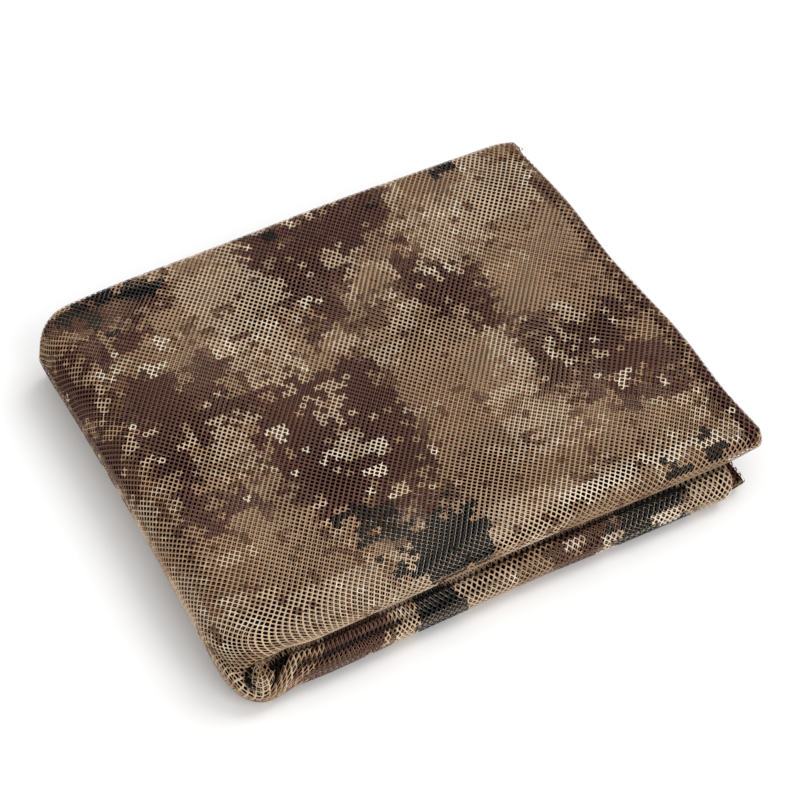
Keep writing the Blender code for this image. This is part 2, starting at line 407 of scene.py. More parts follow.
    def shift_outline(self, x: Array, y: Array, z: Array) -> tuple[Array, Array]:
        """Move the plan outline by its table and round the left end's corners.

        Each row of the table is a bell along its edge, easing to 0 inside it, and
        a corner is a quarter circle, squeezed to its share.

        Args:
            x: Places along the packet.
            y: Places across it.
            z: Heights.

        Returns:
            The moved places along and across.
        """
        shares = {
            Edge.FRONT: (self.at_front(y, self.edge_depth), x),
            Edge.BACK: (1.0 - smoothstep(self.width / 2.0 - y, 0.0, self.edge_depth), x),
            Edge.LEFT: (1.0 - smoothstep(x + self.length / 2.0, 0.0, self.edge_depth), y),
        }
        moves = {edge: np.zeros_like(x) for edge in shares}
        for row in OUTLINE_SHIFTS:
            share, along = shares[row.edge]
            move = row.shift * share * bell(along, row.middle, row.spread)
            moves[row.edge] = moves[row.edge] + move
        run_in = np.clip((self.corner - self.length / 2.0) - x, 0.0, self.corner)
        inset = self.corner - np.sqrt(self.corner**2 - run_in**2)
        rounding = self.corner_share * (1.0 - self.pressed_share * self.low_share(z))
        narrowed = y * (1.0 - rounding * inset / (self.width / 2.0))
        return x - moves[Edge.LEFT], narrowed + moves[Edge.BACK] - moves[Edge.FRONT]

    def forward_slip(self, x: Array, y: Array, z: Array) -> Array:
        """How far the lower front roll lies forward of the upper one.

        More at the crease's foot, and less at the pocket beside it.

        Args:
            x: Places along the packet.
            y: Places across it.
            z: Heights.

        Returns:
            The slips.
        """
        near_front = self.at_front(y, self.edge_depth)
        fill = self.corner_fill * bell(x, self.crease_inset - self.length / 2.0, self.crease_spread)
        pocket_x = self.pocket_inset - self.length / 2.0
        pocket = self.pocket_depth * bell(x, pocket_x, self.pocket_spread) * self.mid_share(z)
        return ((self.lower_forward + fill) * self.low_share(z) - pocket) * near_front

    def rise(self, x: Array, y: Array, z: Array) -> Array:
        """Swells of the top, tilt of the parting, curl of the end, sag of the crease.

        Args:
            x: Places along the packet.
            y: Places across it.
            z: Heights.

        Returns:
            How far each place is lifted.
        """
        level = z / self.height
        lift = -self.parting_tilt * x / (self.length / 2.0) * self.mid_share(z)
        for row in SWELLS:
            share = bell(x, row.x, row.spread_x) * bell(y, row.y, row.spread_y)
            lift = lift + row.rise * level**2 * share
        curl = self.end_curl * smoothstep(x, self.lower_end, self.upper_end)
        lift = lift + curl * self.mid_share(z)
        crease = bell(x, self.crease_inset - self.length / 2.0, self.crease_spread)
        depth = self.at_front(y, self.crease_depth) * self.mid_share(z) ** 2
        return lift - self.crease_sag * crease * depth

    def end_reach(self, y: Array, height: Array, lower: Array, tongue: float) -> Array:
        """How far each section point lies past the mean cut end.

        Args:
            y: Places across the packet.
            height: Heights in the stack.
            lower: Whether each point is in the lower stack.
            tongue: Share of the tongue's reach.

        Returns:
            The reaches.
        """
        ragged = self.ragged * np.sin(y / self.ragged_along + height / self.ragged_across)
        outside = height / (self.stack / 2.0)
        tip = self.tip_reach * smoothstep(-outside, *self.tip_from)
        skin = self.roll_end_back * smoothstep(outside, *self.skin_from)
        out = tongue * self.tongue_reach * self.in_tongue(y, height)
        return ragged + np.where(lower, out - skin, tip)

    def in_tongue(self, y: Array, height: Array) -> Array:
        """1 in the layer whose front end lies out past the others as a tongue."""
        past_skin = smoothstep(y + self.width / 2.0, *self.roll_skin)
        return bell(height, self.layer_height(self.tongue_layer), self.pitch) * past_skin


class Cloth:
    """Puts any place on the cloth, and any height over its middle, into the packet."""

    def __init__(self, lie: PacketLie, creases: tuple[Crease, ...]) -> None:
        """Work out the section once.

        Args:
            lie: The packet's sizes.
            creases: Troughs and ridges of the outer skin.
        """
        self.lie = lie
        self.creases = creases
        self.line, self.normal, self.across = lie.section()

    def layer_across(self, number: int) -> tuple[float, float]:
        """The coordinates across between which a layer lies.

        Args:
            number: The layer's number from the top.

        Returns:
            The least and the greatest coordinate across.
        """
        apart = np.abs(self.line[:, 1] - self.lie.layer_height(number))
        on_layer = self.across[(apart < LEVEL_TOLERANCE) & (self.across > self.lie.past_roll)]
        return float(on_layer.min()), float(on_layer.max())

    def crinkle(self, along: Array, across: Array) -> Array:
        """Height of the creases: a bell across each line, fading past its ends.

        Args:
            along: Coordinates along.
            across: Coordinates across.

        Returns:
            The heights, below 0 in a trough.
        """
        total = np.zeros_like(along)
        for row in self.creases:
            run_a, run_c = row.end_along - row.along, row.end_across - row.across
            reach = math.hypot(run_a, run_c)
            from_a, from_c = along - row.along, across - row.across
            forward = (from_a * run_a + from_c * run_c) / reach
            aside = (from_c * run_a - from_a * run_c) / reach
            aside = np.where(aside > 0.0, aside / row.steep, aside)
            beyond = np.maximum(np.maximum(-forward, forward - reach), 0.0)
            total += row.rise * np.exp(-(aside**2 + beyond**2) / row.spread**2)
        return total

    def light_share(self, along: Array, across: Array) -> Array:
        """Share of light that gets into the troughs: 1 on open cloth."""
        depth = np.clip(-self.crinkle(along, across) / self.lie.dark_depth, 0.0, 1.0)
        return 1.0 - self.lie.dark_share * depth

    def place(self, along: Array, across: Array, lift: Array, tongue: float = 1.0) -> Array:
        """Points of the settled packet.

        The section point is found from across, the U-turn's path at its height
        from along; cloth nearer the turn's inside is gathered over the turn and
        a stretch of the run beside it.

        Args:
            along: Coordinate along the strip.
            across: Coordinate across the strip.
            lift: Height over the cloth's middle line.
            tongue: Share of the tongue's reach that this cloth takes.

        Returns:
            Points as rows of x, y, z.
        """
        lie = self.lie
        mid_y = np.interp(across, self.across, self.line[:, 0])
        mid_h = np.interp(across, self.across, self.line[:, 1])
        out_y = np.interp(across, self.across, self.normal[:, 0])
        out_h = np.interp(across, self.across, self.normal[:, 1])
        full = float(lie.half_turn(np.array(lie.stack / 2.0)))
        own = lie.half_turn(mid_h)
        cloth = along - lie.turn_middle
        upper = cloth >= 0.0
        reach = np.abs(cloth)
        path = reach - (full - own) * smoothstep(reach, 0.0, full + lie.turn_slack)
        in_turn = path < own
        quarter = np.clip(path / own, 0.0, 1.0) * math.pi / 2.0
        facing_x = np.where(in_turn, -lie.narrowing * np.cos(quarter), 0.0)
        facing_z = np.where(upper, 1.0, -1.0) * np.where(in_turn, np.sin(quarter), 1.0)
        run = lie.x_turn + np.maximum(path - own, 0.0)
        room = 1.0 - smoothstep(mid_y, *lie.closed_back)
        end = np.where(upper, lie.upper_end, lie.lower_end)
        start, lift = self.turn_in(run, lift, end, room)
        radius = lie.offset + (mid_h + out_h * lift)
        x = start + radius * facing_x
        y = mid_y + out_y * lift
        z = lie.height / 2.0 + radius * facing_z
        return self.settle((x, y, z), mid_y, mid_h, tongue)

    def turn_in(self, run: Array, lift: Array, end: Array, room: Array) -> tuple[Array, Array]:
        """Turn the cloth in at its cut end: a quarter circle, then straight inwards.

        Args:
            run: How far along its run each place lies.
            lift: Height over the cloth's middle line.
            end: The run's cut end.
            room: 1 where there is room to turn in, 0 in the tight back folds.

        Returns:
            The turned run and height.
        """
        tight = self.lie.tight_share
        radius = self.lie.edge_round * (tight + (1.0 - tight) * room)
        longest = radius * math.pi / 2.0 + self.lie.edge_tuck * room
        over = np.clip(run - end + radius, 0.0, longest)
        angle = np.minimum(over / radius, math.pi / 2.0)
        inward = np.maximum(over - radius * math.pi / 2.0, 0.0)
        turned_run = end - radius + (radius + lift) * np.sin(angle)
        turned_lift = (radius + lift) * np.cos(angle) - radius - inward
        turned = over > 0.0
        return np.where(turned, turned_run, run), np.where(turned, turned_lift, lift)

    def settle(
        self, neat: tuple[Array, Array, Array], mid_y: Array, mid_h: Array, tongue: float
    ) -> Array:
        """Move the neat packet into its uneven, hand-folded lie.

        Args:
            neat: Places x, y and z in the neat packet.
            mid_y: Where the cloth's middle line lies in the section.
            mid_h: Its height there.
            tongue: Share of the tongue's reach.

        Returns:
            Points as rows of x, y, z.
        """
        lie = self.lie
        x, y, z = neat
        lower = z < lie.height / 2.0
        reach = lie.end_reach(mid_y, mid_h, lower, tongue)
        end = np.where(lower, lie.lower_end, lie.upper_end)
        share = np.clip((x - end + lie.end_zone) / lie.end_zone, 0.0, 1.0)
        x = x + reach * share * share * (3.0 - 2.0 * share)
        beyond = np.clip((x - end) / lie.tongue_reach, 0.0, 1.0) * lower
        lift = lie.rise(x, y, z) - lie.tongue_sag * beyond**2 * lie.in_tongue(mid_y, mid_h)
        slip = lie.forward_slip(x, y, z)
        x, y = lie.shift_outline(x, y, z)
        shift_x, shift_y = lie.footprint_shift
        return np.stack([x + shift_x, y - slip + shift_y, z + lift], axis=-1)


# ------------------------------------------------------------------------- print
class Tone(IntEnum):
    """The print's colours."""

    BLACK = 0
    BROWN = 1
    UMBER = 2
    KHAKI = 3
    TAN = 4
    LIGHT = 5


class Patch(NamedTuple):
    """Printed patch: its middle and its half sizes, in millimetres on the cloth."""

    along: float
    across: float
    half_length: float
    half_width: float
    tone: Tone


class Grain(NamedTuple):
    """Random numbers, the same over each step by step squares, with their weight in a sum."""

    step: int
    layer: int
    weight: float


def patches(tone: Tone, *rows: tuple[float, float, float, float]) -> tuple[Patch, ...]:
    """Patches of one tone; a row is along, across, half length and half width."""
    return tuple(Patch(*row, tone) for row in rows)


# A patch lies over those before it. Most are the print; two rows along the front shoulder are a
# painted highlight.
PRINT_AND_HIGHLIGHT_PATCHES = (
    *patches(
        Tone.BROWN,
        (-113, 116, 32, 15), (-122, 88, 22, 12), (-110, 44, 30, 18), (-122, 17, 16, 12),
        (-80, 18, 20, 5), (-128, -8, 8, 12), (-128, -40, 9, 16), (-112, -47, 12, 7),
        (-157, 62, 12, 58),
    ),
    *patches(Tone.UMBER, (-156, 0, 9, 8)),
    *patches(
        Tone.BROWN,
        (-38, -32, 38, 47), (-26, -96, 17, 10), (18, 113, 42, 20), (-6, 66, 13, 27),
        (50, 78, 9, 18), (62, 40, 17, 19), (66, 12, 6, 8), (112, -60, 32, 13), (115, -38, 15, 11),
        (139, -20, 10, 8), (92, -70, 8, 9), (120, -82, 20, 6), (88, -9, 7, 3), (80, -22, 2, 30),
    ),
    *patches(Tone.UMBER, (8, 38, 12, 6)),
    *patches(
        Tone.KHAKI,
        (-88, 92, 9, 9), (-107, 71, 12, 9), (-97, 50, 4, 10), (-150, 84, 3, 7), (-158, 52, 4, 9),
        (-148, 36, 5, 5), (38, 84, 13, 7),
    ),
    *patches(Tone.TAN, (-34, -8, 11, 12), (-38, -36, 8, 9)),
    *patches(
        Tone.LIGHT,
        (-25, -45, 4, 4), (-36, -64, 5, 4), (-68, -15, 3, 3), (-60, -33, 3, 3), (-50, -40, 3, 3),
        (-12, 66, 3, 4), (110, -68, 4, 4), (-123, 84, 3, 4), (-96, 76, 3, 4), (-109, 59, 6, 3),
    ),
    *patches(Tone.TAN, (84, 78, 18, 17), (-58, 108, 13, 12), (60, -100, 26, 14)),
    *patches(Tone.KHAKI, (30, -10, 28, 30)),
    *patches(
        Tone.BLACK,
        (-129, 125, 11, 8), (-122, 114, 6, 6), (-112, 127, 5, 7), (-92, 125, 11, 8),
        (-118, 98, 5, 3), (-64, -82, 6, 3), (-57, -90, 4, 9), (-47, -96, 5, 9), (-60, -104, 8, 2),
        (-25, -123, 21, 18), (-60, -117, 3, 3), (-55, -125, 4, 3), (-47, -133, 5, 4),
        (-12, -95, 3, 3), (6, -125, 2, 2),
    ),
    *patches(Tone.KHAKI, (72, -106, 56, 9)),
    # painted highlight: a tan band with light specks along the front roll's shoulder, over the
    # print's khaki
    *patches(Tone.TAN, (78, -125, 70, 8)),
    *patches(Tone.LIGHT, (86, -126, 48, 4)),
    *patches(Tone.UMBER, (158, 10, 10, 130)),
    *patches(Tone.BROWN, (159, -70, 9, 70)),
    *patches(
        Tone.BLACK,
        (125, -122, 3, 3), (107, -134, 7, 5), (128, -134, 6, 3), (103, 128, 5, 5),
        (-10, 128, 3, 3), (54, 122, 3, 3),
    ),
    *patches(Tone.BROWN, (-230, -146, 24, 20)),
    *patches(Tone.BLACK, (-296, -146, 14, 20)),
    *patches(Tone.BROWN, (-388, -146, 22, 20)),
    *patches(Tone.BLACK, (-424, -146, 24, 20)),
    *patches(Tone.LIGHT, (-430, -144, 5, 4), (-396, -143, 5, 4), (-376, -146, 4, 4)),
    *patches(Tone.TAN, (-456, -146, 9, 20)),
    *patches(Tone.BROWN, (-468, 430, 24, 60)),
)
SECOND_PLY_PATCHES = (
    *patches(Tone.UMBER, (-38, -30, 44, 50)),
    *patches(Tone.BROWN, (10, 110, 50, 24)),
    *patches(
        Tone.UMBER,
        (62, 30, 16, 30), (-150, 20, 14, 90), (-115, 40, 20, 60), (118, -60, 14, 20),
    ),
    *patches(Tone.LIGHT, (-25, -123, 38, 26), (-296, -146, 26, 20), (-424, -146, 36, 20)),
    *patches(Tone.BROWN, (-468, 430, 24, 60)),
)
ROUGH_EDGE = (Grain(1, 1, 0.75), Grain(2, 2, 0.55), Grain(5, 3, 0.35))
FRINGE = (Grain(1, 7, 1.0), Grain(2, 8, 0.6))
GROUND = (Grain(9, 4, 1.2), Grain(4, 5, 0.5), Grain(1, 1, 0.45))
SPECKS = (Grain(1, 6, 1.0),)
CLUSTERS = (Grain(1, 6, 0.7), Grain(3, 9, 0.6))
FAR_TONES = (Tone.BLACK, Tone.BROWN, Tone.BROWN, Tone.BROWN, Tone.UMBER, Tone.TAN)


@dataclass(frozen=True)
class CamouflagePrint:
    """Digital camouflage: squares of a few tones in ragged patches.

    Lengths are in millimetres but for the square's own side, and levels are
    compared with sums of grains.
    """

    square: float = 4.2 * MM
    patches: tuple[Patch, ...] = PRINT_AND_HIGHLIGHT_PATCHES
    seed: int = 41
    table: int = 256
    ragged: float = 11.5        # most that an edge wanders
    black_wander: float = 0.6   # share of it on black patches, which are crisper
    edge_share: float = 0.8     # an edge wanders no more than this share of a half size
    fringe: float = 7.0         # width of the half-tone fringe round brown patches
    fringe_level: float = 0.25
    ground_level: float = 0.05
    khaki_level: float = 0.98
    fleck_level: float = 0.975
    umber_level: float = -0.90
    light_level: float = 0.92
    top_along: float = -215.0   # cloth past this along, and inside these across, shows
    top_across: tuple[float, float] = (-170.0, 150.0)
    roll_across: tuple[float, float] = (-172.0, -124.0)
    far_patches: int = 150
    far_reach: float = 900.0
    far_black: tuple[float, float] = (6.0, 14.0)
    far_size: tuple[float, float] = (14.0, 46.0)
    far_ratio: tuple[float, float] = (0.5, 1.2)

    def grain(self, column: Array, row: Array, step: int, layer: int) -> Array:
        """Even random number from -1 to 1, the same over each step by step squares.

        Args:
            column: The squares' numbers along.
            row: The squares' numbers across.
            step: How many squares share a number, each way.
            layer: Which set of numbers.

        Returns:
            The numbers.
        """
        side = self.table
        numbers = np.random.default_rng(self.seed + layer).uniform(-1.0, 1.0, (side, side))
        return numbers[(column // step) % side, (row // step) % side]

    def mixed(self, column: Array, row: Array, grains: tuple[Grain, ...]) -> Array:
        """Weighted sum of grains on the squares of these numbers."""
        return sum(part.weight * self.grain(column, row, part.step, part.layer) for part in grains)

    def scattered(self) -> list[Patch]:
        """Patches for the cloth that the listed ones don't cover.

        Returns:
            Patches of random place, tone and size.
        """
        rng = np.random.default_rng(self.seed)
        rows = []
        for _ in range(self.far_patches):
            along = rng.uniform(-self.far_reach, self.far_reach)
            across = rng.uniform(-self.far_reach, self.far_reach)
            tone = Tone(int(rng.choice(FAR_TONES)))
            size = rng.uniform(*(self.far_black if tone == Tone.BLACK else self.far_size))
            rows.append(Patch(along, across, size, size * rng.uniform(*self.far_ratio), tone))
        return rows

    def tones(self, along: Array, across: Array) -> Array:
        """Tone of each place: the last patch whose ragged edge takes it in.

        A place lies in a patch where its distance inside the patch's nearest edge
        plus the squares' grain, taken as millimetres, is over zero.

        Args:
            along: Coordinates along, in metres.
            across: Coordinates across, in metres.

        Returns:
            The tones' numbers.
        """
        column = np.floor(along / self.square).astype(int)
        row = np.floor(across / self.square).astype(int)
        sums = (ROUGH_EDGE, FRINGE, GROUND, SPECKS, CLUSTERS)
        rough, fringe, ground, speck, cluster = (self.mixed(column, row, grains) for grains in sums)
        tone = np.where(ground > self.ground_level, Tone.TAN, Tone.KHAKI)
        at_a = (column + 0.5) * self.square / MM
        at_c = (row + 0.5) * self.square / MM
        on_top = (at_c > self.top_across[0]) & (at_c < self.top_across[1]) & (at_a > self.top_along)
        shows = on_top | (at_c > self.roll_across[0]) & (at_c < self.roll_across[1])
        for printed, where in ((self.scattered(), ~shows), (self.patches, np.ones_like(shows))):
            for patch in printed:
                in_a = patch.half_length - np.abs(at_a - patch.along)
                in_c = patch.half_width - np.abs(at_c - patch.across)
                wander = self.ragged * (self.black_wander if patch.tone == Tone.BLACK else 1.0)
                most = self.edge_share * min(patch.half_length, patch.half_width)
                depth = np.minimum(in_a, in_c) + min(wander, most) * rough
                if patch.tone == Tone.BROWN:
                    near = (depth > -self.fringe) & (fringe > self.fringe_level) & where
                    tone = np.where(near & (tone > Tone.BROWN), int(Tone.UMBER), tone)
                tone = np.where((depth > 0.0) & where, int(patch.tone), tone)
        tone = np.where((tone == Tone.BROWN) & (cluster > self.khaki_level), int(Tone.KHAKI), tone)
        tone = np.where((tone == Tone.BROWN) & (speck > self.fleck_level), int(Tone.LIGHT), tone)
        tone = np.where((tone >= Tone.KHAKI) & (cluster < self.umber_level), int(Tone.UMBER), tone)
        return np.where((tone == Tone.TAN) & (cluster > self.light_level), int(Tone.LIGHT), tone)


# ----------------------------------------------------------------------- knitting
class Ply(NamedTuple):
    """One piece of knitted ply: its stretch of cloth, height and fineness."""

    name: str
    along: tuple[float, float]
    across: tuple[float, float]
    cut: tuple[float, float]    # the cut ends' places along
    lift: float                 # height of its holes' edges over the cloth's middle
    ring: int                   # points round a hole
    under: bool                 # the second ply
    bands: int                  # bands of its bake map


@dataclass
class NetMesh:
    """Points, faces, cloth coordinates of points, and tone and share of light of faces."""

    points: Array
    faces: Array
    cloth: Array
    tone: Array
    shade: Array


@dataclass(frozen=True)
class Knit:
    """The mesh's lattice of holes and its strands.

    Each hole is the middle of a diamond cell; the cell's outline is the crest of
    its strands, shared with its neighbours, and a ring inside it is the hole.
    """

    repeat_along: float = 3.34 * MM
    repeat_across: float = 4.16 * MM
    crest: float = 0.00024          # strand's crest over the hole's edge
    hole_side: float = 0.79         # hole's reach towards a strand, share of the cell
    hole_tip_along: float = 0.74
    hole_tip_across: float = 0.66
    under_hole: float = 0.88
    under_turn: float = math.radians(1.7)   # second ply lies turned this much
    under_stretch: float = 0.006
    under_shift: tuple[float, float] = (1.1 * MM, 0.4 * MM)
    tight_back: tuple[float, float] = (0.118, 0.130)   # plies lie close in the back bend
    tighter: float = 0.0009
    deepest_seen: float = 0.0036    # cells deeper in a crease are folded out of sight
    pulled_along: tuple[float, float] = (-0.165, 0.152)
    pulled_across: tuple[float, float] = (-0.148, 0.130)
    spare: float = 0.02             # cells are laid this far past a ply, then cut to it

    @property
    def strand_share(self) -> float:
        """Share of the cloth's area that is strand and not hole."""
        side, tip_a, tip_c = self.hole_side, self.hole_tip_along, self.hole_tip_across
        return 1.0 - side * (tip_a + tip_c) / 2.0

    @property
    def unit(self) -> tuple[float, float]:
        """Steps of the lattice numbers: quarters of the repeats."""
        return self.repeat_along / 4.0, self.repeat_across / 4.0

    def warp(self, along: Array, across: Array, under: bool) -> tuple[Array, Array]:
        """Pull the even lattice into the cloth's own skew.

        The pull is a sum of bells, one for each drag, held at its value past the
        top's edges.  A pinch draws the mesh in to its middle.  The second ply is
        turned and stretched a little against the first.

        Args:
            along: Places on the even lattice.
            across: The same, across.
            under: Whether this is the second ply.

        Returns:
            The cloth coordinates along and across.
        """
        in_a, in_c = np.clip(along, *self.pulled_along), np.clip(across, *self.pulled_across)
        pull_a, pull_c = np.zeros_like(in_a), np.zeros_like(in_c)
        for row in MESH_DRAGS:
            share = bell(in_a, row.along, row.spread_along)
            share = share * bell(in_c, row.across, row.spread_across)
            pull_a += row.pull_along * MM * share
            pull_c += row.pull_across * MM * share
        for row in PINCHES:
            from_a, from_c = along - row.along, across - row.across
            near = np.exp(-((from_a / row.spread_along) ** 2) - (from_c / row.spread_across) ** 2)
            pull_a -= near * (row.share * from_a)
            pull_c -= near * (row.share * from_c)
        if under:
            shift_a, shift_c = self.under_shift
            pull_a += shift_a - self.under_turn * across + self.under_stretch * along
            pull_c += shift_c + self.under_turn * along - self.under_stretch * across
        return along + pull_a, across + pull_c

    def cells(self, ply: Ply, cloth: Cloth) -> tuple[Array, Array]:
        """Lattice numbers of the holes whose middles lie on the ply and aren't folded away.

        The middles lie four units apart along and two across, and every other row is
        set over by two units.

        Args:
            ply: The stretch of cloth.
            cloth: Its creases.

        Returns:
            Numbers along and across, in units.
        """
        unit_a, unit_c = self.unit
        a_from, a_to = ply.along
        c_from, c_to = ply.across
        spare = self.spare
        columns = np.arange(
            int((a_from - spare) / unit_a / 4), int((a_to + spare) / unit_a / 4) + 1
        )
        rows = np.arange(int((c_from - spare) / unit_c / 2), int((c_to + spare) / unit_c / 2) + 1)
        column, row = (part.ravel() for part in np.meshgrid(columns, rows, indexing="ij"))
        key_a, key_c = 4 * column + 2 * (row % 2), 2 * row
        at_a, at_c = self.warp(key_a * unit_a, key_c * unit_c, ply.under)
        keep = (at_a >= a_from) & (at_a < a_to) & (at_c >= c_from) & (at_c < c_to)
        keep &= cloth.crinkle(at_a, at_c) > -self.deepest_seen
        return key_a[keep], key_c[keep]

    def ring(self, ply: Ply) -> tuple[Array, Array, Array]:
        """Steps from a cell's middle to its outline, and the hole's share of each.

        Args:
            ply: Eight points go round its holes, or the four tips alone.

        Returns:
            Steps along and across, in units, and shares.
        """
        if ply.ring == 4:
            share = self.under_hole if ply.under else self.hole_side
            return np.array([2, 0, -2, 0]), np.array([0, 2, 0, -2]), np.full(4, share)
        step_a = np.array([2, 1, 0, -1, -2, -1, 0, 1])
        step_c = np.array([0, 1, 2, 1, 0, -1, -2, -1])
        tips = np.where(step_a == 0, self.hole_tip_across, self.hole_side)
        return step_a, step_c, np.where(step_c == 0, self.hole_tip_along, tips)

    def ply_mesh(self, ply: Ply, cloth: Cloth, camo: CamouflagePrint) -> NetMesh:
        """Strands of one ply round every hole of its stretch.

        Args:
            ply: The stretch of cloth.
            cloth: Where the cloth lies.
            camo: The print.

        Returns:
            The ply's mesh, with normals away from the packet's middle line.
        """
        unit_a, unit_c = self.unit
        key_a, key_c = self.cells(ply, cloth)
        step_a, step_c, share = self.ring(ply)
        rim_a, rim_c = key_a[:, None] + step_a, key_c[:, None] + step_c
        keys = rim_a.astype(np.int64) * KEY_FACTOR + rim_c
        keys, first, inverse = np.unique(keys, return_index=True, return_inverse=True)
        rim = inverse.reshape(rim_a.shape)
        hole = len(keys) + np.arange(rim_a.size).reshape(rim_a.shape)
        flat_a = np.concatenate([rim_a.ravel()[first], (key_a[:, None] + step_a * share).ravel()])
        flat_c = np.concatenate([rim_c.ravel()[first], (key_c[:, None] + step_c * share).ravel()])
        along, across = self.warp(flat_a * unit_a, flat_c * unit_c, ply.under)
        along = np.clip(along, *ply.cut)
        lift = np.full(len(along), ply.lift)
        if ply.under:
            lift += self.tighter * smoothstep(across, *self.tight_back)
        lift[: len(keys)] += self.crest
        lift += cloth.crinkle(along, across)
        points = cloth.place(along, across, lift)
        after = np.roll(np.arange(len(step_a)), -1)
        faces = np.stack([rim, rim[:, after], hole[:, after], hole], axis=-1).reshape(-1, 4)
        sides = points[faces[:, 2:]] - points[faces[:, :2]]
        faces = faces[np.linalg.norm(np.cross(sides[:, 0], sides[:, 1]), axis=1) > SLIVER]
        used, faces = np.unique(faces, return_inverse=True)
        faces = faces.reshape(-1, 4)
        points, along, across = points[used], along[used], across[used]
        middle_a, middle_c = along[faces].mean(axis=1), across[faces].mean(axis=1)
        tone = camo.tones(middle_a, middle_c)
        shade = cloth.light_share(middle_a, middle_c)
        return NetMesh(points, faces, np.stack([along, across], axis=1), tone, shade)


